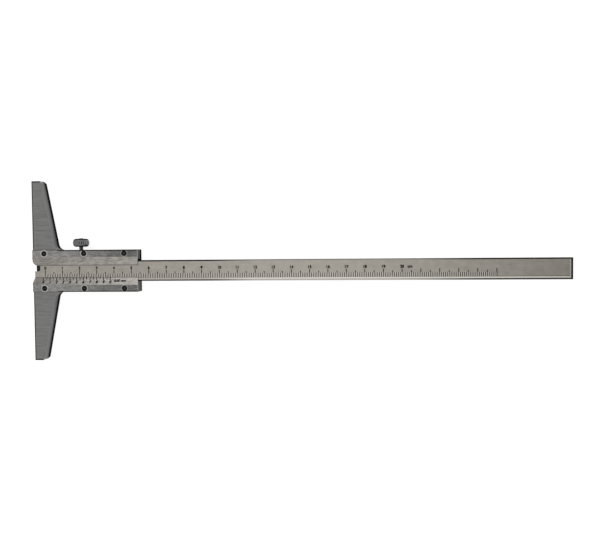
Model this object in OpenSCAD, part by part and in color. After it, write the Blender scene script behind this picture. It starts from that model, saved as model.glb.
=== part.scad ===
// Vernier depth gauge, lying on its back with the graduated front up.
// The measuring face of the base is the plane x = 0 and the beam runs along +X behind it.
// The lock screw points along +Y, and the back of the base lies on z = 0.
// The line y = 0, z = 0 runs under the middle of the beam.

/* [Base] */
// Length of the base along its measuring face
base_l = 101.5; // [80:0.5:160]
// Width of a wing at its outer end
wing_tip_w = 5.8; // [4.5:0.1:9]
// Width of a wing where it meets the body
wing_root_w = 13.4; // [11:0.1:18]
// Radius of the fillet between a wing and the body
wing_fillet_r = 3.8; // [1:0.1:8]
// Length cut off the outer corner of a wing, along each side
wing_corner_cut = 1.2; // [0.5:0.1:3]
// Chamfer that breaks the long edges of the base
base_edge = 0.25; // [0.1:0.05:0.5]

/* [Body] */
// Length of the body from the measuring face to its far end
body_l = 61; // [56:1:90]
// Wall behind the beam
back_wall = 2.5; // [1.8:0.1:4]
// Wall beside the channel on the side of the lock screw
lock_wall = 5.2; // [4.8:0.1:8]
// Wall beside the channel on the side without the lock screw
plain_wall = 5.95; // [4.8:0.05:8]
// Clearance between the beam and each wall that guides it
slide_clear = 0.05; // [0.02:0.01:0.1]
// Gap beside the beam that holds the leaf spring
spring_gap = 0.8; // [0.6:0.05:1.2]

/* [Beam] */
// Length of the beam from its tip to its far end
beam_l = 295.5; // [275:0.5:340]
// Width of the beam
beam_w = 11.6; // [9:0.1:14]
// Thickness of the beam
beam_t = 4.2; // [3.6:0.1:6]
// Length of the step at the measuring tip
tip_l = 3.2; // [2:0.1:4.5]
// Width of the measuring tip
tip_w = 5.6; // [3:0.1:7]
// Radius in the inner corner of the step
tip_fillet_r = 1.2; // [0.4:0.1:2]
// Chamfer along the edges of the beam
beam_edge = 0.3; // [0.1:0.05:0.5]
// How far the tip stands inside the measuring face as the gauge lies
drawn_in = 1.05; // [0:0.05:3]

/* [Front plates] */
// Thickness of a plate under its screws
plate_t = 1.2; // [1.1:0.05:2]
// Thickness left at the thin edge of a plate
plate_thin = 0.25; // [0.15:0.05:0.5]
// Width of the flat strip that takes the screws
strip_w = 4; // [3.6:0.1:5]
// How far the cover plate laps over the beam
cover_lap = 2.8; // [1.5:0.1:3.4]
// How far the vernier plate laps over the beam
vernier_lap = 2.25; // [1.5:0.05:3]
// How far the plates stand back from the measuring face
plate_back = 0.2; // [0.1:0.05:0.5]
// Radius of the cover plate's corner beside the tip
cover_corner_r = 2.8; // [1:0.1:4]
// Length cut off the vernier plate's corner beside the tip
vernier_slant = 1.1; // [0.3:0.1:2]
// Width of that cut across the vernier plate
vernier_slant_w = 3; // [1:0.1:4]
// Chamfer that breaks the edges of a plate
plate_edge = 0.2; // [0.1:0.05:0.3]

/* [Graduations] */
// Distance from the tip to the zero line, the same on the vernier plate from the measuring face
zero_inset = 6.1; // [5.5:0.1:8]
// Length of the graduated part of the beam
scale_l = 250; // [200:10:260]
// Distance from one line on the beam to the next
division = 1; // [1:0.5:2]
// Width of an engraved line
line_w = 0.28; // [0.1:0.02:0.3]
// Depth of an engraved line
line_deep = 0.08; // [0.04:0.01:0.15]
// Distance from the beam's edge to the foot of its lines
line_foot = 1.8; // [1:0.1:2.2]
// Length of a common line on the beam
line_l = 2.4; // [1.5:0.1:3]
// Length of each fifth line on the beam
fifth_line_l = 3.4; // [2:0.1:4]
// Length of each tenth line on the beam
tenth_line_l = 4.4; // [3:0.1:5]
// Number of divisions on the vernier plate
vernier_count = 20; // [10:10:20]
// Length of a common line on the vernier plate
vernier_line_l = 1.2; // [0.8:0.1:2]
// Length of each second line on the vernier plate
vernier_long_l = 1.7; // [1:0.1:2.5]

/* [Plate screws] */
// Distance from the measuring face to the first screw of each row
screw_first = 7.1; // [5:0.1:9]
// Distance from the last screw of each row to the body's far end
screw_last = 7.5; // [5:0.1:9]
// Distance from the body's long edge to the screws
screw_inset = 2; // [1.8:0.05:2.4]
// Diameter of the thread
screw_d = 1.6; // [1.4:0.1:2]
// Diameter of the sunk head
screw_head_d = 2.9; // [2.6:0.1:3.4]
// Height of the rim above the cone of a head
screw_rim = 0.12; // [0.05:0.01:0.2]
// Length of a screw from the top of its head
screw_l = 3.6; // [3:0.1:4.2]
// How much deeper the tapped holes are than their screws
screw_spare = 0.3; // [0.1:0.05:0.5]
// Width of the slot in a head
screw_slot_w = 0.45; // [0.3:0.05:0.6]
// Depth of the slot in a head
screw_slot_deep = 0.4; // [0.2:0.05:0.5]
// Clearance round a plate screw
screw_clear = 0.04; // [0.02:0.01:0.08]

/* [Lock screw] */
// Distance from the lock screw to the middle plate screws behind it
lock_beside = 2.7; // [2.4:0.1:4]
// Diameter of the stud
stud_d = 2.5; // [2:0.1:2.6]
// Clearance round the stud in the wall and in the knob
stud_clear = 0.04; // [0.02:0.01:0.08]
// Length of stud that shows between the body and the knob
stud_show = 1.75; // [1:0.05:4]
// How far the stud's end stands out of the knob
stud_proud = 0.3; // [0.1:0.05:0.8]
// Gap left between the stud's tip and the leaf spring
stud_touch = 0.05; // [0.02:0.01:0.1]
// Diameter of the knob over its knurl
knob_d = 8.8; // [7:0.1:9]
// Height of the knob
knob_h = 4.5; // [4:0.1:7]
// Radius of the knob's rims
knob_rim_r = 1.7; // [0.3:0.1:1.9]
// Number of knurl grooves round the knob
knurl_count = 30; // [18:1:40]
// Depth of a knurl groove
knurl_deep = 0.25; // [0.1:0.05:0.35]

/* [Leaf spring] */
// Length of the leaf spring
spring_l = 38; // [30:1:42]
// Thickness of its strip
spring_t = 0.3; // [0.2:0.05:0.35]
// Height of the foot bent up at each end
spring_foot = 1; // [0.6:0.1:2]
// Clearance round the spring's feet and sides
spring_clear = 0.12; // [0.05:0.01:0.2]
// Gap between the bow of the spring and the beam
spring_touch = 0.08; // [0.05:0.01:0.12]

/* [Hidden] */
$fn = 96;
// The leaf spring's bow is a short arc of a very large circle
bow_fn = 720;
// Overrun of every cut past the face that it opens
over = 0.5;

// The channel that the beam runs in, seen along X
channel_t = beam_t + 2 * slide_clear;
channel_low = -beam_w / 2 - slide_clear;
channel_high = beam_w / 2 + spring_gap;
beam_z = back_wall + slide_clear;

// The base's outline
base_t = back_wall + channel_t;
half_l = base_l / 2;
body_high = channel_high + lock_wall;
body_low = channel_low - plain_wall;

// The front plates
plate_top = base_t + plate_t;
cover_in = beam_w / 2 - cover_lap;
vernier_in = beam_w / 2 - vernier_lap;
screw_pitch = (body_l - screw_first - screw_last) / 2;
screw_places = [for (k = [0:2]) screw_first + k * screw_pitch];
// Where each screw's slot came to rest, as a share of a turn from the X axis
slot_turn_shares = [0.06, 0.39, 0.22, 0.31, 0.13, 0.45];
sink_deep = (screw_head_d - screw_d) / 2;

// The vernier divides one division less than two divisions of the beam for each of its own
vernier_step = (2 * vernier_count - 1) * division / vernier_count;

// The lock screw lies beside the middle screws, at half the channel's depth
lock_x = screw_places[1] - lock_beside;
lock_z = back_wall + channel_t / 2;
spring_bow = spring_gap - spring_t - spring_touch;
spring_r = (spring_l * spring_l / 4 + spring_bow * spring_bow) / (2 * spring_bow);
stud_tip_y = channel_high - spring_bow + stud_touch;
knob_y = body_high + stud_show;

function unit(v) = v / norm(v);

// Where the rounding of radius r leaves the edge that runs from corner p along d1
function tangent_point(p, d1, d2, r) =
    p + unit(d1) * r / tan(acos(unit(d1) * unit(d2)) / 2);

// Centre of the rounding of radius r between the edges along d1 and d2 from corner p
function arc_centre(p, d1, d2, r) =
    p + unit(unit(d1) + unit(d2)) * r / sin(acos(unit(d1) * unit(d2)) / 2);

// The little area between corner p and the arc that rounds it
module corner_patch(p, d1, d2, r) {
    c = arc_centre(p, d1, d2, r);
    beyond = p - unit(c - p) * over;
    difference() {
        polygon([tangent_point(p, d1, d2, r), c, tangent_point(p, d2, d1, r), beyond]);
        translate(c)
            circle(r);
    }
}

// A prism that breaks the edge from p to q at height z by size, run past p and q as told
module edge_cut(p, q, z, size, past_p, past_q) {
    side = size * sqrt(2);
    run = norm(q - p) + past_p + past_q;
    translate([p.x, p.y, z])
        rotate([0, 0, atan2(q.y - p.y, q.x - p.x)])
            translate([run / 2 - past_p, 0, 0])
                rotate([45, 0, 0])
                    cube([run, side, side], center = true);
}

// The same edge broken on the front and on the back of the base
module base_edge_pair(p, q, past_p, past_q) {
    for (z = [0, base_t])
        edge_cut(p, q, z, base_edge, past_p, past_q);
}

// The half of the base on the side of +Y, where outer is the body's edge: its outline's corners
function wing_tip() = [wing_tip_w, half_l];
function wing_root(outer) = [wing_root_w, outer];
function end_cut() = wing_tip() - [wing_corner_cut, 0];
function slant_cut(outer) = wing_tip() + unit(wing_root(outer) - wing_tip()) * wing_corner_cut;

module half_outline(outer) {
    root = wing_root(outer);
    polygon([[0, -over], [root.x, -over], root, slant_cut(outer), end_cut(), [0, half_l]]);
    translate([0, -over])
        square([body_l, outer + over]);
    corner_patch(root, [1, 0], wing_tip() - root, wing_fillet_r);
}

// The broken edges of that half, from its end round to the end of the body
module half_edges(outer) {
    root = wing_root(outer);
    slant = wing_tip() - root;
    centre = arc_centre(root, [1, 0], slant, wing_fillet_r);
    wide_r = wing_fillet_r + base_edge + over;
    base_edge_pair([0, half_l], end_cut(), over, over);
    base_edge_pair(slant_cut(outer), tangent_point(root, slant, [1, 0], wing_fillet_r), over, 0);
    base_edge_pair(tangent_point(root, [1, 0], slant, wing_fillet_r), [body_l, outer], 0, over);
    translate([centre.x, centre.y, base_t - base_edge])
        cylinder(h = base_edge + over, r1 = wing_fillet_r, r2 = wide_r);
    translate([centre.x, centre.y, -over])
        cylinder(h = base_edge + over, r1 = wide_r, r2 = wing_fillet_r);
}

// A row of the tapped holes that take the plate screws
module tapped_row(y) {
    depth = screw_l - plate_t + screw_spare;
    for (x = screw_places)
        translate([x, y, base_t - depth])
            cylinder(h = depth + over, d = screw_d + 2 * screw_clear);
}

// A pocket for a foot of the leaf spring
module spring_pocket(x) {
    translate([x - spring_t / 2 - spring_clear, channel_high - over, back_wall])
        cube([
            spring_t + 2 * spring_clear,
            spring_foot + spring_clear + over,
            channel_t + over
        ]);
}

module base_frame() {
    color("gray")
        difference() {
            linear_extrude(base_t) {
                half_outline(body_high);
                mirror([0, 1, 0])
                    half_outline(-body_low);
            }
            translate([-over, channel_low, back_wall])
                cube([body_l + 2 * over, channel_high - channel_low, channel_t + over]);
            base_edge_pair([0, -half_l], [0, half_l], over, over);
            base_edge_pair([body_l, body_low], [body_l, body_high], over, over);
            half_edges(body_high);
            mirror([0, 1, 0])
                half_edges(-body_low);
            tapped_row(body_high - screw_inset);
            tapped_row(body_low + screw_inset);
            for (side = [-1, 1])
                spring_pocket(lock_x + side * (spring_l - spring_t) / 2);
            translate([lock_x, channel_high - over, lock_z])
                rotate([-90, 0, 0])
                    cylinder(h = lock_wall + 2 * over, d = stud_d + 2 * stud_clear);
        }
}

// A bar along X whose outline across is given in Y and Z
module bar_along_x(length) {
    rotate([90, 0, 90])
        linear_extrude(length)
            children();
}

// Length of the line with number k on the beam
function beam_line_l(k) = k % 10 == 0 ? tenth_line_l : k % 5 == 0 ? fifth_line_l : line_l;

module beam_outline() {
    half_w = beam_w / 2;
    e = beam_edge;
    polygon([
        [-half_w + e, 0], [half_w - e, 0], [half_w, e], [half_w, beam_t - e],
        [half_w - e, beam_t], [-half_w + e, beam_t], [-half_w, beam_t - e], [-half_w, e]
    ]);
}

// The step that leaves the narrow measuring tip
module tip_step() {
    corner = [tip_l, tip_w - beam_w / 2];
    translate([0, 0, -over])
        linear_extrude(beam_t + 2 * over)
            difference() {
                translate([-over, corner.y])
                    square([tip_l + over, beam_w]);
                corner_patch(corner, [-1, 0], [0, 1], tip_fillet_r);
            }
}

module beam_lines() {
    foot = line_foot - beam_w / 2;
    for (k = [0:floor(scale_l / division)])
        translate([zero_inset + k * division - line_w / 2, foot, beam_t - line_deep])
            cube([line_w, beam_line_l(k), line_deep + over]);
}

module beam() {
    low = -beam_w / 2;
    high = beam_w / 2;
    color("silver")
        translate([drawn_in, 0, beam_z])
            difference() {
                bar_along_x(beam_l)
                    beam_outline();
                tip_step();
                beam_lines();
                for (x = [0, beam_l], z = [0, beam_t])
                    edge_cut([x, low], [x, high], z, beam_edge, over, over);
            }
}

// A front plate on the side of +Y: flat strip outside, bevel down to the thin edge over the beam
module plate_blank(inner, outer) {
    length = body_l - plate_back;
    bend = outer - strip_w;
    difference() {
        translate([plate_back, 0, base_t])
            bar_along_x(length)
                polygon([
                    [inner, 0], [outer, 0], [outer, plate_t - plate_edge],
                    [outer - plate_edge, plate_t], [bend, plate_t], [inner, plate_thin]
                ]);
        for (x = [plate_back, body_l])
            edge_cut([x, bend], [x, outer], plate_top, plate_edge, 0, over);
        for (x = screw_places)
            translate([x, outer - screw_inset, plate_top])
                screw_form(screw_clear, over);
    }
}

// The solid of a sunk screw with its head's top at z = 0, made larger all round by grow
module screw_form(grow, rise) {
    rotate_extrude()
        polygon([
            [0, -screw_l], [screw_d / 2 + grow, -screw_l],
            [screw_d / 2 + grow, -screw_rim - sink_deep - grow],
            [screw_head_d / 2 + grow, -screw_rim - grow],
            [screw_head_d / 2 + grow, rise], [0, rise]
        ]);
}

module cover_plate() {
    color("darkgray")
        difference() {
            plate_blank(cover_in, body_high);
            translate([0, 0, base_t - over])
                linear_extrude(plate_t + 2 * over)
                    corner_patch([plate_back, cover_in], [1, 0], [0, 1], cover_corner_r);
        }
}

// The vernier's lines follow the slope of the bevel, from its thin edge outwards
module vernier_lines() {
    slope = atan2(plate_t - plate_thin, -body_low - strip_w - vernier_in);
    for (k = [0:vernier_count])
        translate([zero_inset + k * vernier_step, vernier_in, base_t + plate_thin])
            rotate([slope, 0, 0])
                translate([-line_w / 2, -over, -line_deep])
                    cube([line_w, over + (k % 2 == 0 ? vernier_long_l : vernier_line_l), line_deep + over]);
}

module vernier_plate() {
    color("lightgray")
        mirror([0, 1, 0])
            difference() {
                plate_blank(vernier_in, -body_low);
                vernier_lines();
                translate([0, 0, base_t - over])
                    linear_extrude(plate_t + 2 * over)
                        polygon([
                            [plate_back - over, vernier_in - over],
                            [plate_back + vernier_slant, vernier_in - over],
                            [plate_back + vernier_slant, vernier_in],
                            [plate_back, vernier_in + vernier_slant_w],
                            [plate_back - over, vernier_in + vernier_slant_w]
                        ]);
            }
}

module plate_screw(x, y, turn) {
    color("black")
        translate([x, y, plate_top])
            difference() {
                screw_form(0, 0);
                rotate([0, 0, turn * 360])
                    translate([0, 0, over / 2 - screw_slot_deep / 2])
                        cube([screw_head_d + over, screw_slot_w, screw_slot_deep + over], center = true);
            }
}

module cover_screw(k) {
    plate_screw(screw_places[k], body_high - screw_inset, slot_turn_shares[k]);
}

module vernier_screw(k) {
    plate_screw(screw_places[k], body_low + screw_inset, slot_turn_shares[k + len(screw_places)]);
}

// A bowed strip with a foot bent up at each end, its bow towards the beam
module leaf_spring() {
    width = channel_t - 2 * spring_clear;
    half = spring_l / 2;
    color("goldenrod")
        translate([lock_x, channel_high, back_wall + spring_clear])
            linear_extrude(width) {
                intersection() {
                    translate([0, spring_r - spring_bow])
                        difference() {
                            circle(spring_r + spring_t, $fn = bow_fn);
                            circle(spring_r, $fn = bow_fn);
                        }
                    translate([-half, -spring_gap])
                        square([spring_l, spring_gap]);
                }
                for (x = [-half, half - spring_t])
                    translate([x, -spring_t / 2])
                        square([spring_t, spring_foot + spring_t / 2]);
            }
}

module lock_stud() {
    stud_r = stud_d / 2;
    length = knob_y + knob_h + stud_proud - stud_tip_y;
    tip_r = stud_r - stud_proud;
    color("silver")
        translate([lock_x, stud_tip_y, lock_z])
            rotate([-90, 0, 0])
                rotate_extrude()
                    polygon([
                        [0, 0], [tip_r, 0], [stud_r, stud_proud], [stud_r, length - stud_proud],
                        [tip_r, length], [0, length]
                    ]);
}

// Half outline of the knob with both rims rounded and its bore open
module knob_profile() {
    knob_r = knob_d / 2;
    flat_r = knob_r - knob_rim_r;
    difference() {
        union() {
            square([flat_r, knob_h]);
            translate([0, knob_rim_r])
                square([knob_r, knob_h - 2 * knob_rim_r]);
            for (h = [knob_rim_r, knob_h - knob_rim_r])
                translate([flat_r, h])
                    circle(knob_rim_r);
        }
        translate([-over, -over])
            square([over + stud_d / 2 + stud_clear, knob_h + 2 * over]);
    }
}

module lock_knob() {
    knob_r = knob_d / 2;
    groove = knurl_deep * sqrt(2);
    color("silver")
        translate([lock_x, knob_y, lock_z])
            rotate([-90, 0, 0])
                difference() {
                    rotate_extrude()
                        knob_profile();
                    for (k = [0:knurl_count - 1])
                        rotate([0, 0, k * 360 / knurl_count])
                            translate([knob_r, 0, knob_h / 2])
                                rotate([0, 0, 45])
                                    cube([groove, groove, knob_h + over], center = true);
                }
}

base_frame();
beam();
cover_plate();
vernier_plate();
cover_screw(0);  // cover_screw_1
cover_screw(1);  // cover_screw_2
cover_screw(2);  // cover_screw_3
vernier_screw(0);  // vernier_screw_1
vernier_screw(1);  // vernier_screw_2
vernier_screw(2);  // vernier_screw_3
leaf_spring();
lock_stud();
lock_knob();
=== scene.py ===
# %% [markdown]
# # A vernier depth gauge, dressed for its picture
#
# The gauge lies on its back. A steel base with two wings carries a channel, a graduated beam slides in
# the channel, and two bevelled plates hold it there. A knurled lock screw stands at the side.
# The CAD part is loaded as a fixed frame: its nodes keep their shapes and places, and this script
# gives them finishes, adds the numerals that a scale needs, and makes the lock screw anew with
# a real thread and a turned knob. Every length is in metres and every piece lies in the CAD's frame.

import bpy
import numpy as np
from mathutils import Matrix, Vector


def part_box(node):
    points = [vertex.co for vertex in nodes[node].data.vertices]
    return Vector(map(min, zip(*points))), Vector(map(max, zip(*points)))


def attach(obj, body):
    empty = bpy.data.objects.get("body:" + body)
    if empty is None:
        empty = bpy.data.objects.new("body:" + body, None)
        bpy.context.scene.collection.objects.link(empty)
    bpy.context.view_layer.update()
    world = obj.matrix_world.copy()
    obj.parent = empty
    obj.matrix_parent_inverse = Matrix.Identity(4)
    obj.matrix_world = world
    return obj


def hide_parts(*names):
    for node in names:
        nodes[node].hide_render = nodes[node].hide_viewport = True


MM = 0.001
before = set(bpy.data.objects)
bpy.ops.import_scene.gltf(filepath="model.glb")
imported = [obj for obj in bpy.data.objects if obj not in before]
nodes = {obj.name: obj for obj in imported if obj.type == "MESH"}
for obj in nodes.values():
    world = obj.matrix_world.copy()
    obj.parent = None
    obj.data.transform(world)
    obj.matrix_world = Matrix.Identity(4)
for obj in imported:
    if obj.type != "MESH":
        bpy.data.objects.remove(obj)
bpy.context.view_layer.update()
base_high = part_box("base_frame")[1]
beam_low, beam_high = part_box("beam")
vernier_low, vernier_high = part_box("vernier_plate")
stud_low, stud_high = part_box("lock_stud")
knob_low, knob_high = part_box("lock_knob")
print("nodes:", sorted(nodes))
print("beam from", [round(v / MM, 2) for v in beam_low], "to", [round(v / MM, 2) for v in beam_high])

# %% [markdown]
# ## Small helpers for node trees
#
# A procedural material is a graph. Writing each node out by hand makes long scripts, so a few helpers
# do it: one adds a node and feeds its inputs with numbers or with other nodes' outputs, one does
# arithmetic, and the rest make the smooth steps and bands that most masks are built from.

# %% Helpers that add nodes
FLOAT, VECTOR = "NodeSocketFloat", "NodeSocketVector"


def feed(tree, node, values):
    """Gives each named or numbered input its value, or a link from the socket given for it."""
    for key, value in values.items():
        if isinstance(value, bpy.types.NodeSocket):
            tree.links.new(value, node.inputs[key])
        else:
            node.inputs[key].default_value = value
    return node


def add(tree, kind, values=None, **settings):
    """One new node of that kind with its settings and inputs."""
    node = tree.nodes.new(kind)
    for key, value in settings.items():
        setattr(node, key, value)
    return feed(tree, node, values or {})


def math(tree, operation, *values):
    """The result of one Math node on numbers or sockets."""
    return add(tree, "ShaderNodeMath", dict(enumerate(values)), operation=operation).outputs[0]


def step(tree, value, low, high, before=0.0, after=1.0):
    """Goes smoothly from before, where value is low, to after, where it is high."""
    values = {"Value": value, "From Min": low, "From Max": high, "To Min": before, "To Max": after}
    return add(tree, "ShaderNodeMapRange", values, interpolation_type="SMOOTHSTEP").outputs[0]


def band(tree, value, low, high, soft):
    """1 where value lies between low and high, with edges as wide as soft, and 0 elsewhere."""
    rise = step(tree, value, low - soft / 2, low + soft / 2)
    fall = step(tree, value, high - soft / 2, high + soft / 2, 1.0, 0.0)
    return math(tree, "MULTIPLY", rise, fall)


def mix(tree, factor, first, second):
    """The colour that lies between first and second by factor."""
    return add(tree, "ShaderNodeMix", {0: factor, 6: first, 7: second}, data_type="RGBA").outputs[2]


def tinted(tree, color, tone):
    """color times tone, where tone is a number near 1 that changes over the surface."""
    toned = add(tree, "ShaderNodeCombineColor", {0: tone, 1: tone, 2: tone}).outputs[0]
    values = {0: 1.0, 6: color, 7: toned}
    return add(tree, "ShaderNodeMix", values, data_type="RGBA", blend_type="MULTIPLY").outputs[2]


def new_group(name, inputs, outputs):
    """An empty node group: its tree, its input node and its output node."""
    tree = bpy.data.node_groups.new(name, "ShaderNodeTree")
    for label, kind in inputs:
        tree.interface.new_socket(name=label, in_out="INPUT", socket_type=kind)
    for label, kind in outputs:
        tree.interface.new_socket(name=label, in_out="OUTPUT", socket_type=kind)
    return tree, tree.nodes.new("NodeGroupInput"), tree.nodes.new("NodeGroupOutput")


print("helpers ready")

# %% [markdown]
# ## Effects that several finishes share
#
# Ground steel shows streaks along the way the wheel ran, some broad and some hair-fine, with clouds where
# the light catches it. That effect is one node group, placed in each metal with its own stretch
# and strength. A second group marks what lies inside a box, which is enough to paint a strip, a
# border or a channel by its place. A third finds the edges, where handling has rubbed the satin
# and a painted highlight adds to it, for a brighter line. A fourth repeats a line at every pitch, for the
# enamel of both scales.

# %% The streaks and clouds of ground steel
def make_grain():
    """Tone, roughness and height of a ground metal.

    tone = 1 + contrast times (streaks - a half) + cloudy times (clouds - a half),
    roughness = the given one + a twelfth of (clouds - a half) + a tenth of (streaks - a half)."""
    tree, given, result = new_group(
        "ground_grain",
        [("Along", VECTOR), ("Place", VECTOR), ("Contrast", FLOAT), ("Cloudy", FLOAT), ("Roughness", FLOAT)],
        [("Tone", FLOAT), ("Roughness", FLOAT), ("Height", FLOAT)],
    )
    fine = {"Vector": given.outputs["Along"], "Scale": 1.0, "Detail": 4.0, "Roughness": 0.7}
    streaks = add(tree, "ShaderNodeTexNoise", fine).outputs[0]
    broad = {"Vector": given.outputs["Place"], "Scale": 260.0, "Detail": 4.0, "Roughness": 0.6}
    clouds = add(tree, "ShaderNodeTexNoise", broad).outputs[0]
    streak_part = math(tree, "SUBTRACT", streaks, 0.5)
    cloud_part = math(tree, "SUBTRACT", clouds, 0.5)
    clouded = math(tree, "MULTIPLY_ADD", cloud_part, given.outputs["Cloudy"], 1.0)
    rough = math(tree, "MULTIPLY_ADD", cloud_part, 0.083, given.outputs["Roughness"])
    made = {
        "Tone": math(tree, "MULTIPLY_ADD", streak_part, given.outputs["Contrast"], clouded),
        "Roughness": math(tree, "MULTIPLY_ADD", streak_part, 0.1, rough),
        "Height": streaks,
    }
    feed(tree, result, made)
    return tree


grain = make_grain()
print("group", grain.name, "has", len(grain.nodes), "nodes")

# %% A mask for what lies inside a box
def make_inside_box():
    """1 where every coordinate is above Low and below High, and 0 elsewhere."""
    tree, given, result = new_group(
        "inside_box",
        [("Vector", VECTOR), ("Low", VECTOR), ("High", VECTOR)],
        [("Mask", FLOAT)],
    )
    at, low, high = (
        add(tree, "ShaderNodeSeparateXYZ", {0: given.outputs[label]}).outputs
        for label in ("Vector", "Low", "High")
    )
    mask = 1.0
    for axis in range(3):
        above = math(tree, "GREATER_THAN", at[axis], low[axis])
        below = math(tree, "LESS_THAN", at[axis], high[axis])
        mask = math(tree, "MULTIPLY", mask, math(tree, "MULTIPLY", above, below))
    feed(tree, result, {"Mask": mask})
    return tree


inside_box = make_inside_box()
print("group", inside_box.name, "has", len(inside_box.nodes), "nodes")

# %% Where the edges are, for wear and a painted highlight
def make_rubbed_edges():
    """1 beside an edge and 0 on open faces.

    The mask is how far the normal of a surface rounded over Width turns from the true one."""
    tree, given, result = new_group("edge_wear_and_highlight", [("Width", FLOAT)], [("Mask", FLOAT)])
    rounded = add(tree, "ShaderNodeBevel", {"Radius": given.outputs["Width"]}, samples=4).outputs[0]
    true = add(tree, "ShaderNodeNewGeometry").outputs["True Normal"]
    pair = {0: rounded, 1: true}
    likeness = add(tree, "ShaderNodeVectorMath", pair, operation="DOT_PRODUCT").outputs["Value"]
    feed(tree, result, {"Mask": step(tree, likeness, 0.999, 0.96)})
    return tree


edge_wear_and_highlight = make_rubbed_edges()
print("group", edge_wear_and_highlight.name, "has", len(edge_wear_and_highlight.nodes), "nodes")

# %% Rows of painted lines
def make_ruled_lines():
    """1 on lines that repeat every Pitch, and 0 between them.

    Along is measured from the first line, and Across from the lines' feet. A point lies on a line
    when its distance to the nearest multiple of Pitch is under Half and Across is from 0 to Length."""
    tree, given, result = new_group(
        "ruled_lines",
        [("Along", FLOAT), ("Across", FLOAT), ("Pitch", FLOAT), ("Length", FLOAT), ("Half", FLOAT)],
        [("Mask", FLOAT)],
    )
    half_pitch = math(tree, "MULTIPLY", given.outputs["Pitch"], 0.5)
    away = math(tree, "PINGPONG", given.outputs["Along"], half_pitch)
    near = math(tree, "LESS_THAN", away, given.outputs["Half"])
    above = math(tree, "GREATER_THAN", given.outputs["Across"], 0.0)
    below = math(tree, "LESS_THAN", given.outputs["Across"], given.outputs["Length"])
    feed(tree, result, {"Mask": math(tree, "MULTIPLY", near, math(tree, "MULTIPLY", above, below))})
    return tree


ruled_lines = make_ruled_lines()
print("group", ruled_lines.name, "has", len(ruled_lines.nodes), "nodes")

# %% [markdown]
# ## The steels
#
# All the large pieces are ground steel under a thin satin chrome, but they do not look alike. The base
# is the darkest and streaky. The plates are a little warmer, and smooth enough to mirror the dark
# and light of the studio. The beam is the palest, because its satin is rough. One function builds
# all three from their colour, roughness and streaks. It paints their broken edges and walls dark as
# shade, and a brighter line beside the edges that is partly wear and partly a painted highlight;
# each steel then gets its own additions.

# %% A new material with its grain
def begin_material(name, color, metallic, roughness, contrast, cloudy, stretch):
    """A material whose colour and roughness follow the grain: its tree, shader, place and grain.

    stretch is how many streaks a metre holds along each axis."""
    made = bpy.data.materials.new(name)
    made.use_nodes = True
    tree = made.node_tree
    tree.nodes.clear()
    shader = add(tree, "ShaderNodeBsdfPrincipled", {"Metallic": metallic})
    add(tree, "ShaderNodeOutputMaterial", {0: shader.outputs[0]})
    place = add(tree, "ShaderNodeTexCoord").outputs["Object"]
    along = add(tree, "ShaderNodeMapping", {"Vector": place, "Scale": stretch}).outputs[0]
    values = {"Along": along, "Place": place, "Roughness": roughness}
    values.update({"Contrast": contrast, "Cloudy": cloudy})
    grained = feed(tree, add(tree, "ShaderNodeGroup", node_tree=grain), values)
    shade = tinted(tree, color, grained.outputs["Tone"])
    feed(tree, shader, {"Base Color": shade, "Roughness": grained.outputs["Roughness"]})
    return made, tree, shader, place, grained


def current(socket):
    """What feeds a socket now: the output linked to it, or its constant."""
    return socket.links[0].from_socket if socket.is_linked else socket.default_value


def repaint(tree, shader, mask, color, roughness=None, matt=False):
    """Where mask is 1 the surface takes that colour, that roughness if one is given, and no metal if matt."""
    feed(tree, shader, {"Base Color": mix(tree, mask, current(shader.inputs["Base Color"]), color)})
    rest = math(tree, "SUBTRACT", 1.0, mask)
    if roughness is not None:
        kept = math(tree, "MULTIPLY", current(shader.inputs["Roughness"]), rest)
        feed(tree, shader, {"Roughness": math(tree, "MULTIPLY_ADD", mask, roughness, kept)})
    if matt:
        feed(tree, shader, {"Metallic": math(tree, "MULTIPLY", current(shader.inputs["Metallic"]), rest)})


def boxed(tree, vector, low, high):
    """The mask of what lies between two corners."""
    values = {"Vector": vector, "Low": low, "High": high}
    return feed(tree, add(tree, "ShaderNodeGroup", node_tree=inside_box), values).outputs["Mask"]


def grey(value, warmth=0.0):
    """A grey of that brightness, with a little less blue for each part of warmth."""
    return (value, value * (1 - 0.35 * warmth), value * (1 - warmth), 1.0)


print("material helpers ready")

# %% One ground steel
EDGE_SHADE = grey(0.03)
WEAR_AND_HIGHLIGHT_WIDTH = 0.9 * MM


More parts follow.
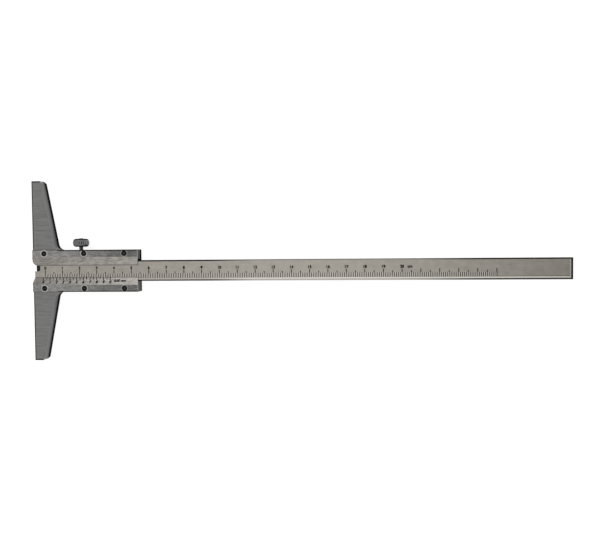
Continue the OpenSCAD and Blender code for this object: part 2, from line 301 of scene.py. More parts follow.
def ground_steel(name, color, roughness, contrast, cloudy, stretch, wear_and_highlight, wall_shade, plus_x_edge_highlight=grey(0.17)):
    """Streaky steel with broken edges painted dark as shade, a brighter line beside them that is partly wear
    and partly a painted highlight, and walls painted in a shade of their own.

    Edges that face +X are matt and painted paler, as a highlight.
    What is matt does not shine, so the shader's specular level is nought. Metal takes no notice of it."""
    made, tree, shader, place, grained = begin_material(
        name, color, 1.0, roughness, contrast, cloudy, stretch
    )
    feed(tree, shader, {"Specular IOR Level": 0.0})
    relief = {"Height": grained.outputs["Height"], "Strength": 0.08, "Distance": 0.02 * MM}
    feed(tree, shader, {"Normal": add(tree, "ShaderNodeBump", relief).outputs[0]})
    edges = feed(tree, add(tree, "ShaderNodeGroup", node_tree=edge_wear_and_highlight), {"Width": WEAR_AND_HIGHLIGHT_WIDTH})
    # Painted highlight: a brighter line beside every edge, partly wear and partly painted light.
    bright = tuple(min(1.0, c * (1 + wear_and_highlight)) for c in color[:3]) + (1.0,)
    repaint(tree, shader, edges.outputs["Mask"], bright)
    facing = add(tree, "ShaderNodeNewGeometry").outputs["True Normal"]
    spaces = {"vector_type": "NORMAL", "convert_from": "WORLD", "convert_to": "OBJECT"}
    facing = add(tree, "ShaderNodeVectorTransform", {0: facing}, **spaces).outputs[0]
    facing = add(tree, "ShaderNodeSeparateXYZ", {0: facing}).outputs
    level = math(tree, "ABSOLUTE", facing["Z"])
    broken = band(tree, level, 0.5, 0.88, 0.1)
    # Painted shade: the broken edges between the front and the walls are painted dark.
    repaint(tree, shader, broken, EDGE_SHADE)
    # Painted highlight: edges that face +X are painted paler and matt.
    plus_x_highlight = math(tree, "MULTIPLY", broken, step(tree, facing["X"], 0.2, 0.4))
    repaint(tree, shader, plus_x_highlight, plus_x_edge_highlight, matt=True)
    # Painted shade: the walls take a darker colour of their own.
    repaint(tree, shader, step(tree, level, 0.35, 0.15), wall_shade)
    return made, tree, shader, place, facing


def outside(tree, place, slab_low, slab_high, inner_low, inner_high):
    """1 in the slab between two corners but not in the inner box, and 0 elsewhere."""
    inner = boxed(tree, place, inner_low, inner_high)
    return math(tree, "MULTIPLY", boxed(tree, place, slab_low, slab_high), math(tree, "SUBTRACT", 1.0, inner))


def lines(tree, along, across, rows):
    """The mask of several rows of lines, each row with its pitch and length in millimetres."""
    mask = 0.0
    for pitch, length in rows:
        values = {"Along": along, "Across": across, "Half": HALF_LINE}
        values.update({"Pitch": pitch * MM, "Length": length * MM})
        row = feed(tree, add(tree, "ShaderNodeGroup", node_tree=ruled_lines), values)
        mask = math(tree, "MAXIMUM", mask, row.outputs["Mask"])
    return mask


print("steel maker ready")

# %% [markdown]
# ### The base
#
# Its front is ground across the wings, so the streaks run along X. The walls are painted darker than
# the front, as shade. The far end is only milled, and is painted nearly black towards the bench as
# shade. The channel is painted dark as shade, and the measuring face is lapped bright, because it is
# the face that touches the work.

# %% The base's steel
FAR = 1.0
SKIN = 0.02 * MM
CHAMFER = 0.3 * MM
WING_END = base_high.y
base_steel, tree, shader, place, facing = ground_steel(
    "base_steel", grey(0.214), 0.34, 0.9, 0.15, (80.0, 900.0, 900.0), wear_and_highlight=0.1, wall_shade=grey(0.115)
)
at = add(tree, "ShaderNodeSeparateXYZ", {0: place}).outputs
across = math(tree, "ABSOLUTE", at["Y"])
print("wings reach", round(WING_END / MM, 2), "mm to each side")

# %% Its walls, with painted shade beside the body and black painted shade at their feet
ROOT_FROM, ROOT_TO = 28 * MM, 17 * MM
FOOT_FROM, FOOT_TO = 5.0 * MM, 1.8 * MM
BACK_EDGE = 0.2 * MM
end_x = base_high.x - 0.05 * MM
walls = boxed(tree, place, (CHAMFER, -FAR, BACK_EDGE), (end_x, FAR, base_high.z - 0.26 * MM))
# Painted shade: the walls darken beside the body.
root_shade = math(tree, "MULTIPLY", walls, step(tree, across, ROOT_FROM, ROOT_TO))
repaint(tree, shader, root_shade, grey(0.085))
# Painted shade: walls that face +X turn black towards their feet.
foot_shade = math(tree, "MULTIPLY", walls, step(tree, facing["X"], 0.1, 0.3))
foot_shade = math(tree, "MULTIPLY", foot_shade, step(tree, at["Z"], FOOT_FROM, FOOT_TO))
repaint(tree, shader, foot_shade, grey(0.004), 0.5, matt=True)
print("walls painted up to", round(end_x / MM, 2), "mm from the measuring face")

# %% Its front edges painted dark as shade, and darker at the wings' ends
FACE_EDGE, UPPER_EDGE, LOWER_EDGE = 0.7 * MM, 0.7 * MM, 0.75 * MM
fringe_low, fringe_high = (-FAR, -FAR, base_high.z - CHAMFER), (FAR, FAR, FAR)
# Painted shade: a dark band along the front's edges, darker still at the wings' ends.
front_edge_shade = outside(tree, place, fringe_low, fringe_high, (FACE_EDGE, -FAR, 0.0), (FAR, FAR, FAR))
repaint(tree, shader, front_edge_shade, grey(0.03))
ends_low, ends_high = (-FAR, LOWER_EDGE - WING_END, 0.0), (FAR, WING_END - UPPER_EDGE, FAR)
repaint(tree, shader, outside(tree, place, fringe_low, fringe_high, ends_low, ends_high), grey(0.004))
print("front edges painted over", round(FACE_EDGE / MM, 2), "mm")

# %% Its milled end and its channel, painted dark as shade, and its lapped measuring face
END_TOP = 6.6 * MM
END_DARK, END_PALE = 2.2 * MM, 3.8 * MM
CHANNEL_LOW, CHANNEL_HIGH = (SKIN, -6.5 * MM, 2.4 * MM), (60.9 * MM, 7.8 * MM, base_high.z - 0.01 * MM)
# Painted shade: the far end is near-black towards the bench and grey above; the change comes lower on the -Y
# half.
lean = step(tree, at["Y"], 1 * MM, -1 * MM, 0.0, 1.0 * MM)
end_height = math(tree, "ADD", at["Z"], lean)
end_shade = mix(tree, step(tree, end_height, END_DARK, END_PALE), grey(0.004), grey(0.12))
far_end = boxed(tree, place, (end_x, -FAR, BACK_EDGE), (FAR, FAR, END_TOP))
repaint(tree, shader, far_end, end_shade, 0.5, matt=True)
# Painted shade: the channel is painted dark.
repaint(tree, shader, boxed(tree, place, CHANNEL_LOW, CHANNEL_HIGH), grey(0.03), 0.3)
lapped = boxed(tree, place, (-FAR, -FAR, -FAR), (SKIN, FAR, FAR))
repaint(tree, shader, lapped, grey(0.42), 0.18)
print("base steel has", len(tree.nodes), "nodes")

# %% [markdown]
# ### The beam and its painted graduations
#
# The lines of both scales are grooves in the CAD, filled with black enamel on the real gauge. The
# enamel runs a little over each groove's edges, so it is painted by rule: a point is black when it
# lies near a multiple of one, five or ten millimetres and within the length of such a line.
# Along its lower edge the beam has a strip painted bright as a highlight, under a scribed
# line. Its borders are painted dark as shade near the body and near the end, and lighter between.

# %% The beam's satin chrome
SCALE_LENGTH = 250 * MM
ZERO_INSET = 6.1 * MM
LINE_FOOT = -4.0 * MM
zero_x = beam_low.x + ZERO_INSET
beam_steel, tree, shader, place = ground_steel(
    "beam_steel", grey(0.396, 0.16), 0.3, 0.25, 0.45, (60.0, 1100.0, 1100.0), wear_and_highlight=0.1, wall_shade=grey(0.2, 0.16)
)[:4]
front_low, front_high = (-FAR, -FAR, beam_high.z - 0.31 * MM), (FAR, FAR, FAR)
at = add(tree, "ShaderNodeSeparateXYZ", {0: place}).outputs
print("the scale's zero lies at x", round(zero_x / MM, 2))

# %% Its strip painted bright as a highlight, its scribed line and its end
SCRIBED_UP, SCRIBED_DOWN, POLISHED_DOWN = 0.1 * MM, 0.2 * MM, 0.75 * MM
END_STRIP = 1.7 * MM
strip_end = beam_high.x - END_STRIP


def strip(top, bottom):
    """The mask of a strip along the front between two distances from the beam's middle."""
    low, high = (beam_low.x + 3 * MM, bottom, front_low[2]), (strip_end, top, FAR)
    return boxed(tree, place, low, high)


near_end = step(tree, at["X"], 225 * MM, 255 * MM)
# Painted highlight: the strip along the lower edge is painted bright, brightest towards the far end.
repaint(tree, shader, strip(LINE_FOOT - SCRIBED_DOWN, -FAR), grey(0.5, 0.12))
strip_highlight = mix(tree, step(tree, at["X"], 95 * MM, 130 * MM), grey(0.5, 0.12), grey(0.8, 0.1))
strip_highlight = mix(tree, near_end, strip_highlight, grey(1.0, 0.1))
repaint(tree, shader, strip(LINE_FOOT - SCRIBED_DOWN, LINE_FOOT - POLISHED_DOWN), strip_highlight)
scribed = mix(tree, near_end, grey(0.27, 0.16), grey(0.09, 0.16))
repaint(tree, shader, strip(LINE_FOOT + SCRIBED_UP, LINE_FOOT - SCRIBED_DOWN), scribed)
end_low = (strip_end, -FAR, front_low[2])
repaint(tree, shader, boxed(tree, place, end_low, (FAR, FAR, FAR)), grey(0.6, 0.1))
print("strip ends at x", round(strip_end / MM, 2))

# %% The brighter ground between its lines, and its borders painted dark as shade
SHORT, MIDDLE, LONG = 2.4, 3.4, 4.4
UPPER_BORDER, LOWER_BORDER, END_BORDER, TIP_BORDER = 0.75 * MM, 0.72 * MM, 1.1 * MM, 0.45 * MM
between_low = (zero_x, LINE_FOOT, front_low[2])
between = boxed(tree, place, between_low, (zero_x + SCALE_LENGTH, LINE_FOOT + SHORT * MM, FAR))
repaint(tree, shader, between, grey(0.62, 0.14))
inner_low = (beam_low.x + TIP_BORDER, beam_low.y + LOWER_BORDER, 0.0)
inner_high = (beam_high.x - END_BORDER, beam_high.y - UPPER_BORDER, FAR)
border = outside(tree, place, front_low, front_high, inner_low, inner_high)
# Painted shade: the front's borders are painted near-black near the body and near the far end.
near_body = step(tree, at["X"], 135 * MM, 100 * MM)
border_shade = math(tree, "MAXIMUM", near_body, step(tree, at["X"], 200 * MM, 250 * MM, 0.1, 1.0))
repaint(tree, shader, math(tree, "MULTIPLY", border, border_shade), grey(0.012), matt=True)
print("borders are", round(LOWER_BORDER / MM, 2), "to", round(END_BORDER / MM, 2), "mm wide")

# %% Its painted lines
ENAMEL = (0.006, 0.005, 0.005, 1.0)
HALF_LINE = 0.23 * MM
along = math(tree, "SUBTRACT", at["X"], zero_x)
across = math(tree, "SUBTRACT", at["Y"], LINE_FOOT)
scale = lines(tree, along, across, ((1, SHORT), (5, MIDDLE), (10, LONG)))
scale_low = (zero_x - HALF_LINE, -FAR, beam_high.z - 0.2 * MM)
scale_high = (zero_x + SCALE_LENGTH + HALF_LINE, FAR, FAR)
scale = math(tree, "MULTIPLY", scale, boxed(tree, place, scale_low, scale_high))
repaint(tree, shader, scale, ENAMEL, 0.5)
print("beam steel has", len(tree.nodes), "nodes")

# %% [markdown]
# ### The plates
#
# Both plates share one finish, with edges painted dark as shade. Round each sunk screw head a dark gap
# is painted as shadow, with a brighter ring round it. The vernier plate is a little duller at its left
# end. It also has painted lines, but they lie on its bevel, so its coordinates are first moved to
# the bevel's thin edge and turned level by its slope.

# %% The plates' steel with its edges painted dark as shade, and its rings
SCREW_FIRST, SCREW_PITCH, SCREW_Y = 7.1 * MM, 23.2 * MM, 9.8 * MM
HEAD_R, RING_R = 1.6 * MM, 2.0 * MM
COVER_THIN = 3.0 * MM
PLATE_OUTER = vernier_low.y


def from_screw(tree, place):
    """How far a point lies from the axis of the nearest plate screw, seen from the front."""
    at = add(tree, "ShaderNodeSeparateXYZ", {0: place}).outputs
    off_row = math(tree, "SUBTRACT", math(tree, "ABSOLUTE", at["Y"]), SCREW_Y)
    off_screw = math(tree, "PINGPONG", math(tree, "SUBTRACT", at["X"], SCREW_FIRST), SCREW_PITCH / 2)
    offset = add(tree, "ShaderNodeCombineXYZ", {0: off_screw, 1: off_row}).outputs[0]
    return add(tree, "ShaderNodeVectorMath", {0: offset}, operation="LENGTH").outputs["Value"]


def plate_steel(name, thin_y):
    """The finish of a plate whose thin edge lies at that distance from the beam's middle."""
    made, tree, shader, place = ground_steel(
        name, grey(0.305, 0.04), 0.13, 0.35, 0.8, (90.0, 1200.0, 1200.0), wear_and_highlight=0.1, wall_shade=grey(0.13)
    )[:4]
    crossed = {"Vector": place, "Rotation": (0.0, 0.0, 0.6), "Scale": (350.0, 1500.0, 350.0)}
    crossed = add(tree, "ShaderNodeMapping", crossed).outputs[0]
    scratches = add(tree, "ShaderNodeTexNoise", {"Vector": crossed, "Scale": 1.0, "Detail": 2.0}).outputs[0]
    tone = math(tree, "MULTIPLY_ADD", math(tree, "SUBTRACT", scratches, 0.5), 1.3, 1.0)
    feed(tree, shader, {"Base Color": tinted(tree, current(shader.inputs["Base Color"]), tone)})
    at = add(tree, "ShaderNodeSeparateXYZ", {0: place}).outputs
    across = math(tree, "ABSOLUTE", at["Y"])
    away = from_screw(tree, place)
    # A brighter ring round each screw head, and inside it a dark gap painted as shadow.
    repaint(tree, shader, band(tree, away, HEAD_R, RING_R, 0.2 * MM), grey(0.56, 0.04))
    repaint(tree, shader, step(tree, away, HEAD_R, HEAD_R - 0.1 * MM), grey(0.02))
    # Painted shadow: a dark line along the plate's thin edge, where it meets the beam.
    thin = step(tree, across, thin_y + 0.55 * MM, thin_y + 0.35 * MM)
    repaint(tree, shader, thin, grey(0.17, 0.04))
    # Painted shade: a dark line along the plate's outer edge, from about 15 mm on.
    outer = step(tree, across, -PLATE_OUTER - 0.65 * MM, -PLATE_OUTER - 0.5 * MM)
    outer = math(tree, "MULTIPLY", outer, step(tree, at["X"], 13 * MM, 17 * MM))
    repaint(tree, shader, outer, grey(0.02))
    # Painted shade: a dark band along the plate's left end.
    left = step(tree, at["X"], 0.6 * MM, 0.45 * MM)
    repaint(tree, shader, left, grey(0.05))
    return made, tree, shader, place


cover_steel = plate_steel("cover_steel", COVER_THIN)[0]
print("cover steel has", len(cover_steel.node_tree.nodes), "nodes")

# %% The vernier plate with its painted lines
VERNIER_STEP, VERNIER_SHORT, VERNIER_LONG = 1.95, 1.2, 1.7
thin_edge = (0.0, vernier_high.y, 7.05 * MM)
bend = (0.0, -7.8 * MM, 8.0 * MM)
slope = float(np.arctan2(bend[2] - thin_edge[2], thin_edge[1] - bend[1]))
vernier_steel, tree, shader, place = plate_steel("vernier_steel", -vernier_high.y)
at = add(tree, "ShaderNodeSeparateXYZ", {0: place}).outputs
dull = step(tree, at["X"], 3 * MM, 9 * MM, 0.83, 1.0)
feed(tree, shader, {"Base Color": tinted(tree, current(shader.inputs["Base Color"]), dull)})
moved = add(tree, "ShaderNodeVectorMath", {0: place, 1: thin_edge}, operation="SUBTRACT").outputs[0]
turned = {"Vector": moved, "Angle": slope}
turned = add(tree, "ShaderNodeVectorRotate", turned, rotation_type="X_AXIS").outputs[0]
at = add(tree, "ShaderNodeSeparateXYZ", {0: turned}).outputs
along = math(tree, "SUBTRACT", at["X"], ZERO_INSET)
across = math(tree, "SUBTRACT", 0.01 * MM, at["Y"])
scale = lines(tree, along, across, ((VERNIER_STEP, VERNIER_SHORT), (2 * VERNIER_STEP, VERNIER_LONG)))
scale_low = (ZERO_INSET - HALF_LINE, -FAR, -0.2 * MM)
scale_high = (ZERO_INSET + 20 * VERNIER_STEP * MM + HALF_LINE, FAR, FAR)
repaint(tree, shader, math(tree, "MULTIPLY", scale, boxed(tree, turned, scale_low, scale_high)), ENAMEL, 0.5)
print("the bevel slopes by", round(float(np.degrees(slope)), 2), "degrees")

# %% [markdown]
# ### Small parts
#
# The screws are blackened with oxide, with a paler sheen painted in the middle of each head as a
# highlight. The spring is rolled bronze, hidden beside the beam. The lock screw is plated: its ridges
# are bright, its grooves and the roots of its thread are painted dark as shade and dirt, and its ends
# are painted dark as shade. The numerals are enamel.

# %% The lock screw's place, read from the frame
axis_x = (stud_low.x + stud_high.x) / 2
axis_z = (stud_low.z + stud_high.z) / 2
stud_r = (stud_high.x - stud_low.x) / 2
knob_r = (knob_high.z - knob_low.z) / 2
knob_h = knob_high.y - knob_low.y
SHOULDER_R = 1.7 * MM


def knurled(tree, y):
    """1 in the knurled band between the knob's shoulders."""
    return band(tree, y, knob_low.y + SHOULDER_R, knob_high.y - SHOULDER_R, 0.3 * MM)


print("lock screw at x", round(axis_x / MM, 2), "and z", round(axis_z / MM, 2))
print("knob radius", round(knob_r / MM, 2), "and stud radius", round(stud_r / MM, 2))

# %% Blackened screws, bronze and enamel
def fine_finish(name, color, metallic, roughness, contrast, fineness):
    """A finish with an even grain, fineness grains to the metre: black oxide, strip, plating or paint."""
    return begin_material(name, color, metallic, roughness, contrast, contrast, (fineness,) * 3)


screw_black, tree, shader, place = fine_finish("screw_black", grey(0.006), 0.0, 0.4, 0.5, 1500.0)[:4]
feed(tree, shader, {"Specular IOR Level": 0.06})
# A paler sheen is painted in the middle of each head, as a highlight.
repaint(tree, shader, step(tree, from_screw(tree, place), 0.6 * MM, 0.3 * MM), grey(0.06))
spring_bronze = fine_finish("spring_bronze", (0.60, 0.42, 0.20, 1.0), 1.0, 0.25, 0.1, 1500.0)[0]
mark_black, tree, shader = fine_finish("mark_black", ENAMEL, 0.0, 0.45, 0.2, 2000.0)[:3]
feed(tree, shader, {"Specular IOR Level": 0.15})
print("fine finishes:", screw_black.name, spring_bronze.name, mark_black.name)

# %% Plating for the lock screw, with shade and dirt painted dark
def plated(name, color):
    """Smooth plating on the lock screw.

    Gives its material, tree and shader, and each point's height along the axis and distance from it."""
    made, tree, shader, place = fine_finish(name, color, 1.0, 0.1, 0.3, 1200.0)[:4]
    feed(tree, shader, {"Specular IOR Level": 0.0})
    at = add(tree, "ShaderNodeSeparateXYZ", {0: place}).outputs
    off_axis = {0: math(tree, "SUBTRACT", at["X"], axis_x), 1: math(tree, "SUBTRACT", at["Z"], axis_z)}
    off_axis = add(tree, "ShaderNodeCombineXYZ", off_axis).outputs[0]
    radius = add(tree, "ShaderNodeVectorMath", {0: off_axis}, operation="LENGTH").outputs["Value"]
    return made, tree, shader, at["Y"], radius


GROOVE_FROM, GROOVE_TO = 0.015 * MM, 0.045 * MM
THREAD_FROM, THREAD_TO = 0.05 * MM, 0.12 * MM
END_SHADE_FROM, END_SHADE_TO = 0.8 * MM, 0.6 * MM
# Near-black for painted shade, and for dirt in the knurl's grooves and the thread.
SHADE_AND_DIRT = grey(0.01)
knob_chrome, tree, shader, height, radius = plated("knob_chrome", grey(0.38))
in_band = knurled(tree, height)
# Painted shade: the shoulders outside the knurled band are painted darker.
repaint(tree, shader, math(tree, "SUBTRACT", 1.0, in_band), grey(0.17))
# Painted shade and dirt: the knurl's grooves are painted near-black and matt.
groove = math(tree, "MULTIPLY", step(tree, radius, knob_r - GROOVE_FROM, knob_r - GROOVE_TO), in_band)
repaint(tree, shader, groove, SHADE_AND_DIRT, 0.5, matt=True)
from_low = math(tree, "SUBTRACT", height, knob_low.y)
from_end = math(tree, "MINIMUM", from_low, math(tree, "SUBTRACT", knob_high.y, height))
# Painted shade: both ends of the knob are painted near-black.
repaint(tree, shader, step(tree, from_end, END_SHADE_FROM, END_SHADE_TO), SHADE_AND_DIRT, 0.5, matt=True)
stud_chrome, tree, shader, _, radius = plated("stud_chrome", grey(0.6))
# Painted shade and dirt: the roots of the thread are painted near-black.
repaint(tree, shader, step(tree, radius, stud_r - THREAD_FROM, stud_r - THREAD_TO), SHADE_AND_DIRT, 0.5, matt=True)
print("plating:", knob_chrome.name, stud_chrome.name)

# %% Give every CAD node its finish
FINISHES = {
    "base_frame": base_steel,
    "beam": beam_steel,
    "cover_plate": cover_steel,
    "vernier_plate": vernier_steel,
    "leaf_spring": spring_bronze,
}
for name, node in nodes.items():
    finish = FINISHES.get(name, screw_black if "screw" in name else knob_chrome)
    node.data.materials.clear()
    node.data.materials.append(finish)
    print(name, "->", finish.name)

# %% [markdown]
# ## Surfaces from formulas
#
# The lock screw is made from two formulas. A closed profile turned round an axis gives the knob, with
# its radius cut by the knurl's grooves. A rod whose radius rises and falls as it turns
# and climbs gives the thread. Both are grids of points, worked out as whole arrays.

# %% A grid of points becomes a closed mesh
def grid_faces(rows, columns, close_rows, close_columns):
    """Quads of a grid of points stored row by row, joined round where asked."""
    r = np.arange(rows if close_rows else rows - 1)[:, None]
    c = np.arange(columns if close_columns else columns - 1)[None, :]
    down, right = (r + 1) % rows, (c + 1) % columns
    corners = [r * columns + c, r * columns + right, down * columns + right, down * columns + c]
    return np.stack(corners, -1).reshape(-1, 4)


def new_piece(name, points, faces, material, body, smooth=True):
    """A mesh object at the origin, painted, named and riding on its CAD body."""
    mesh = bpy.data.meshes.new(name)
    mesh.from_pydata(points.tolist(), [], [[int(i) for i in face] for face in faces])
    mesh.validate()
    mesh.polygons.foreach_set("use_smooth", np.full(len(mesh.polygons), smooth))
    mesh.materials.append(material)
    piece = bpy.data.objects.new(name, mesh)
    bpy.context.scene.collection.objects.link(piece)
    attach(piece, body)
    print(name, "has", len(points), "points and", len(faces), "faces")
    return piece


print("mesh makers ready")

# %% [markdown]
# ### The knob
#
# A turned knob has a plain bore, flat ends and generously rounded shoulders. Straight grooves are
# rolled into the narrow band between the shoulders. The profile is walked once round, from the
# bore along one end, over the shoulder, up the band and back, so the grid closes both ways.

# %% The knob's profile and its knurl
KNURLS = 22
KNURL_DEEP = 0.24 * MM
AROUND = KNURLS * 14


def knob_profile(bore, outer, height, rim, arc=13, flat=6):
    """Radius and height round the knob's section, and how much of the knurl each point takes."""
    turn = np.linspace(0, np.pi / 2, arc)
    low_r, low_h = outer - rim + rim * np.sin(turn), rim - rim * np.cos(turn)
    ends = np.linspace(bore, outer - rim, flat, endpoint=False)
    band_h = np.linspace(rim, height - rim, 5)[1:-1]
    radius = np.concatenate([ends, low_r, np.full(3, outer), low_r[::-1], ends[::-1]])
    rise = np.concatenate([np.zeros(flat), low_h, band_h, height - low_h[::-1], np.full(flat, height)])
    share = np.clip((radius - (outer - KNURL_DEEP)) / KNURL_DEEP, 0, 1)
    return radius, rise, share


def knob_points(bore, outer, height):
    """radius(angle) = profile radius - knurl depth times share times the groove's shape round the knob.

    The groove's shape is the square of half of one plus a cosine, which leaves rounded ridges."""
    radius, rise, share = knob_profile(bore, outer, height, SHOULDER_R)
    angle = np.arange(AROUND) / AROUND * 2 * np.pi
    groove = (0.5 + 0.5 * np.cos(KNURLS * angle)) ** 2
    r = radius[:, None] - KNURL_DEEP * share[:, None] * groove[None, :]
    y = np.broadcast_to(knob_low.y + rise[:, None], r.shape)
    made = np.stack([axis_x + r * np.cos(angle), y, axis_z - r * np.sin(angle)], -1)
    return made.reshape(-1, 3), len(radius)


BORE_GAP = 0.04 * MM
points, rows = knob_points(stud_r + BORE_GAP, knob_r, knob_h)
faces = grid_faces(rows, AROUND, True, True)
knob = new_piece("knurled_knob", points, faces, knob_chrome, "knob")
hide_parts("lock_knob")

# %% [markdown]
# ### The threaded stud
#
# The thread has a pitch of 0.45 millimetres. Its crest lies on the stud's full radius, and its root a
# quarter of a millimetre lower. The radius depends on how far the point has climbed since its
# last turn, and the thread fades out over a chamfer at each end.

# %% The thread as one surface
PITCH = 0.45 * MM
THREAD_DEEP = 0.24 * MM
STUD_CHAMFER = 0.3 * MM
POINTS_ROUND = 48
POINTS_A_PITCH = 10


def thread_points(low, high):
    """radius = full radius - depth times a trapezium wave of (climb / pitch - turn), less at both ends."""
    count = int((high - low) / PITCH * POINTS_A_PITCH)
    climb = np.linspace(0, high - low, count)[:, None]
    turn = np.arange(POINTS_ROUND)[None, :] / POINTS_ROUND
    phase = (climb / PITCH - turn) % 1.0
    wave = np.clip(1.6 * np.abs(2 * phase - 1) - 0.3, 0, 1)
    end = np.minimum(climb, high - low - climb)
    r = np.minimum(stud_r - THREAD_DEEP * wave, stud_r - np.clip(STUD_CHAMFER - end, 0, None))
    x = axis_x + r * np.cos(2 * np.pi * turn)
    z = axis_z - r * np.sin(2 * np.pi * turn)
    y = np.broadcast_to(low + climb, r.shape)
    return np.stack([x, y, z], -1).reshape(-1, 3), count


points, rows = thread_points(stud_low.y, stud_high.y)
faces = grid_faces(rows, POINTS_ROUND, False, True).tolist()
first_ring = list(range(POINTS_ROUND))[::-1]
last_ring = list(range((rows - 1) * POINTS_ROUND, rows * POINTS_ROUND))
faces += [first_ring, last_ring]
stud = new_piece("threaded_stud", points, faces, stud_chrome, "stud")
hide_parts("lock_stud")

# %% [markdown]
# ## Numerals
#
# A scale needs its numbers: centimetres 0 to 20 above the beam's long lines, and 0 to 9 and
# 0 again under the vernier's. They are set with Blender's own font at one metre, where its curves
# are computed cleanly, turned into meshes, shrunk, and laid on their face as one thin piece
# for each scale. Each stands a fiftieth of a millimetre proud, as enamel does. The font's own
# weight is too thin here, and thickening its curves leaves some digits open where strokes cross,
# so every word is laid five times, once in place and once a little towards each corner.

# %% Words as thin solids
INK_PROUD = 0.018 * MM
WORD_BOLD = 0.058
LAYERS = ((0, 0), (1, 1), (1, -1), (-1, 1), (-1, -1))
LAYER_STEP = 0.02


def word_mesh(text, shear):
    """Points and faces of a word one metre high, centred, with its back on z = 0 and its face on z = 1."""
    curve = bpy.data.curves.new("word", "FONT")
    curve.body, curve.size, curve.shear, curve.resolution_u = text, 1.0, shear, 4
    curve.align_x, curve.extrude = "CENTER", 0.5
    holder = bpy.data.objects.new("word", curve)
    bpy.context.scene.collection.objects.link(holder)
    bpy.context.view_layer.update()
    made = bpy.data.meshes.new_from_object(holder.evaluated_get(bpy.context.evaluated_depsgraph_get()))
    points = np.zeros(len(made.vertices) * 3)
    made.vertices.foreach_get("co", points)
    points = points.reshape(-1, 3) + (0, 0, 0.5)
    faces = [tuple(p.vertices) for p in made.polygons]
    bpy.data.objects.remove(holder)
    bpy.data.meshes.remove(made)
    return points, faces


def joined(words):
    """One mesh from (text, size, place, turn, shear) rows, each laid five times for its weight.

    Doubles within a word become one point. The five layers differ a little in height, so that no
    two faces share a plane."""
    all_points, all_faces, start = [], [], 0
    for text, size, place, turn, shear in words:
        points, faces = word_mesh(text, shear)
        _, first, back = np.unique(np.round(points, 5), axis=0, return_index=True, return_inverse=True)
        back = back.ravel()
        for k, (right, up) in enumerate(LAYERS):
            moved = points[first] + (right * WORD_BOLD, up * WORD_BOLD, 0)
            moved = moved * (size, size, INK_PROUD * (1.5 - LAYER_STEP * k)) - (0, 0, INK_PROUD * 0.5)
            all_points.append(moved @ np.array(Matrix.Rotation(turn, 3, "X")).T + place)
            all_faces += [[start + int(back[i]) for i in face] for face in faces]
            start += len(moved)
    return np.concatenate(all_points), all_faces


print("word maker ready")

# %% The beam's numerals
NUMERAL = 2.15 * MM
NUMERAL_Y = 0.85 * MM
UNIT_X = 204.2 * MM
words = [(str(k), NUMERAL, (zero_x + k * 10 * MM, NUMERAL_Y, beam_high.z), 0.0, 0.0) for k in range(21)]
words.append(("cm", NUMERAL, (zero_x + UNIT_X, NUMERAL_Y, beam_high.z), 0.0, 0.0))
points, faces = joined(words)
new_piece("beam_numerals", points, faces, mark_black, "beam", smooth=False)

# %% The vernier's numerals, on the bevel
LABEL_DOWN = 3.45 * MM
READING, READING_X, READING_DOWN = 1.9 * MM, 50.7 * MM, 2.7 * MM
SLANT = 0.25


def on_bevel(x, down):
    """The point of the bevel at x, that distance down its slope from the thin edge."""
    return (x, thin_edge[1] - down * np.cos(slope), thin_edge[2] + down * np.sin(slope))


words = [
    (str(k % 10), NUMERAL, on_bevel(ZERO_INSET + 2 * k * VERNIER_STEP * MM, LABEL_DOWN), -slope, SLANT)
    for k in range(11)
]
words.append(("0.05 mm", READING, on_bevel(READING_X, READING_DOWN), -slope, SLANT))
points, faces = joined(words)
new_piece("vernier_numerals", points, faces, mark_black, "base", smooth=False)

# %% [markdown]
# ## Floor, studio light and camera
#
# Polished steel shows what stands round it, so the studio's cards are painted into the world: metal sees
# them, while the camera sees plain white and the light on everything else is even. The cards hang
# overhead. Lower down the surround is even and pale, so the metal is clear from every side.
# The floor is white paper. It is lifted to white for the camera and in reflections, and keeps a
# faint shadow.

# %% The floor
FLOOR_HALF, FLOOR_Z = 2.0, -0.02 * MM
floor_mesh = bpy.data.meshes.new("floor")
corners = [(x * FLOOR_HALF, y * FLOOR_HALF, FLOOR_Z) for x, y in ((-1, -1), (1, -1), (1, 1), (-1, 1))]
floor_mesh.from_pydata(corners, [], [(0, 1, 2, 3)])
floor = bpy.data.objects.new("floor", floor_mesh)
bpy.context.scene.collection.objects.link(floor)


def background_rays(tree, with_camera):
    """1 for the rays that see the background in metal or glass, and for the camera's if asked."""
    ray = add(tree, "ShaderNodeLightPath").outputs
    seen = math(tree, "MAXIMUM", ray["Is Glossy Ray"], ray["Is Transmission Ray"])
    return math(tree, "MAXIMUM", seen, ray["Is Camera Ray"]) if with_camera else seen


paper = bpy.data.materials.new("floor_paper")
paper.use_nodes = True
tree = paper.node_tree
tree.nodes.clear()
plain = add(tree, "ShaderNodeBsdfDiffuse", {"Color": grey(0.8)})
glow = add(tree, "ShaderNodeEmission", {"Color": grey(0.9), "Strength": 1.0})
faint = add(tree, "ShaderNodeBsdfDiffuse", {"Color": grey(0.14)})
lifted = add(tree, "ShaderNodeAddShader", {0: glow.outputs[0], 1: faint.outputs[0]})
shaders = {0: background_rays(tree, True), 1: plain.outputs[0], 2: lifted.outputs[0]}
seen = add(tree, "ShaderNodeMixShader", shaders)
clear = add(tree, "ShaderNodeBsdfTransparent")
below = add(tree, "ShaderNodeNewGeometry").outputs["Backfacing"]
sheet = add(tree, "ShaderNodeMixShader", {0: below, 1: seen.outputs[0], 2: clear.outputs[0]})
add(tree, "ShaderNodeOutputMaterial", {0: sheet.outputs[0]})
floor_mesh.materials.append(paper)
print("floor is", 2 * FLOOR_HALF, "metres wide")

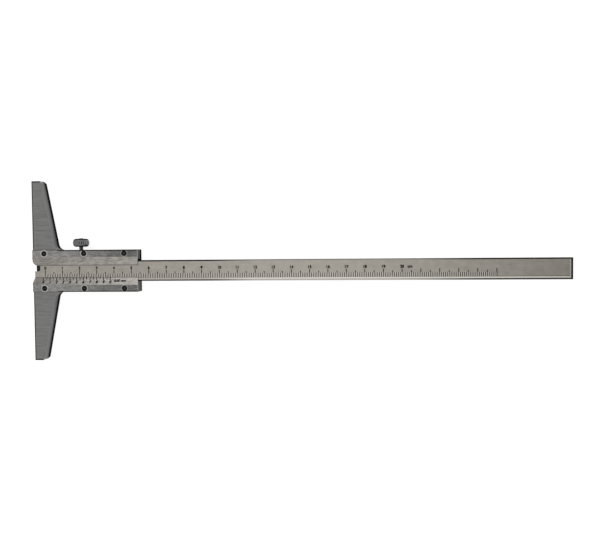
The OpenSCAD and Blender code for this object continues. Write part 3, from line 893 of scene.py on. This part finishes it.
# %% The studio, painted by direction
world = bpy.data.worlds.new("studio")
bpy.context.scene.world = world
world.use_nodes = True
tree = world.node_tree
tree.nodes.clear()
towards = add(tree, "ShaderNodeSeparateXYZ", {0: add(tree, "ShaderNodeTexCoord").outputs["Generated"]})
dx, dy, dz = towards.outputs
EVEN = 0.8
BEHIND_BRIGHT = 0.45
overhead = step(tree, dz, 0.6, 0.76)
# Along X the overhead light falls off to the left and, in two steps, to the right.
left = step(tree, dx, -0.405, -0.385, 0.8, 1.0)
right_near = step(tree, dx, -0.02, 0.12, 1.0, 0.73)
right_far = step(tree, dx, 0.2, 0.33, 1.0, 0.3)
# A grey card is what the right part of the plates' flat strips mirrors.
card = math(tree, "MULTIPLY", band(tree, dx, -0.384, -0.28, 0.01), band(tree, dy, -0.16, 0.10, 0.03))
depth = math(tree, "ADD", step(tree, dx, -0.384, -0.31, 0.48, 0.68), step(tree, dy, -0.05, -0.02, 0.0, 0.06))
card = math(tree, "MULTIPLY", card, depth)
card = math(tree, "SUBTRACT", 1.0, card)
brightness = left
for shade in (right_near, right_far, card):
    brightness = math(tree, "MULTIPLY", brightness, shade)
# A bright card behind is what the right part of the vernier plate's bevel mirrors.
behind = math(tree, "MULTIPLY", step(tree, dy, 0.2, 0.33), step(tree, dx, -0.42, -0.31))
brightness = math(tree, "MULTIPLY_ADD", behind, BEHIND_BRIGHT, brightness)
painted = math(tree, "MULTIPLY_ADD", overhead, math(tree, "SUBTRACT", brightness, EVEN), EVEN - 1.0)
strength = math(tree, "MULTIPLY_ADD", background_rays(tree, False), painted, 1.0)
# Both bevels mirror a warmer white.
warm = math(tree, "MAXIMUM", step(tree, dy, -0.2, -0.34), step(tree, dy, 0.26, 0.36))
warm = math(tree, "MULTIPLY", math(tree, "MULTIPLY", warm, overhead), background_rays(tree, False))
colour = mix(tree, warm, (1.0, 1.0, 1.0, 1.0), (1.0, 0.955, 0.9, 1.0))
studio = add(tree, "ShaderNodeBackground", {"Color": colour, "Strength": strength})
add(tree, "ShaderNodeOutputWorld", {0: studio.outputs[0]})
print("studio has", len(tree.nodes), "nodes")

# %% Two soft lamps, one on each side of the beam
LAMP_SIDE = 0.45


def soft_box(name, place, lean, power):
    """A square area lamp at place, leaning by that angle about X, with its power in watts.

    It is hidden from reflections, so it lights the floor and what is matt, and leaves no white
    patch in the metal."""
    data = bpy.data.lights.new(name, "AREA")
    data.shape, data.size, data.energy = "SQUARE", LAMP_SIDE, power
    lamp = bpy.data.objects.new(name, data)
    lamp.location = place
    lamp.rotation_euler = Matrix.Rotation(lean, 3, "X").to_euler()
    lamp.visible_glossy = False
    bpy.context.scene.collection.objects.link(lamp)
    print(name, "stands at", place)


soft_box("soft_box_behind", (0.0, 0.8, 0.55), -0.95, 3.0)
soft_box("soft_box_before", (0.0, -0.8, 0.55), 0.95, 2.0)

# %% [markdown]
# ## The camera
#
# The photograph was taken from nearly straight above, about 39 centimetres away and over the middle of
# the beam. Place, turn and focal length were fitted to the scale's lines and to the outline.

# %% Camera as fitted to the photograph
SENSOR = 36.0
FOCAL_PX = 697.255
PHOTO_WIDTH_PX = 600
CAMERA_PLACE = (0.187987, 0.014103, 0.385668)
CAMERA_TURN = (-0.0382797, 0.0946037, -0.0087963)
camera_data = bpy.data.cameras.new("camera")
camera_data.sensor_width = SENSOR
camera_data.lens = FOCAL_PX * SENSOR / PHOTO_WIDTH_PX
camera_data.clip_start, camera_data.clip_end = 0.01, 20.0
camera = bpy.data.objects.new("camera", camera_data)
camera.location = CAMERA_PLACE
camera.rotation_euler = CAMERA_TURN
bpy.context.scene.collection.objects.link(camera)
bpy.context.scene.camera = camera
bpy.context.scene.view_settings.view_transform = "Standard"
print("lens", round(camera_data.lens, 2), "mm")
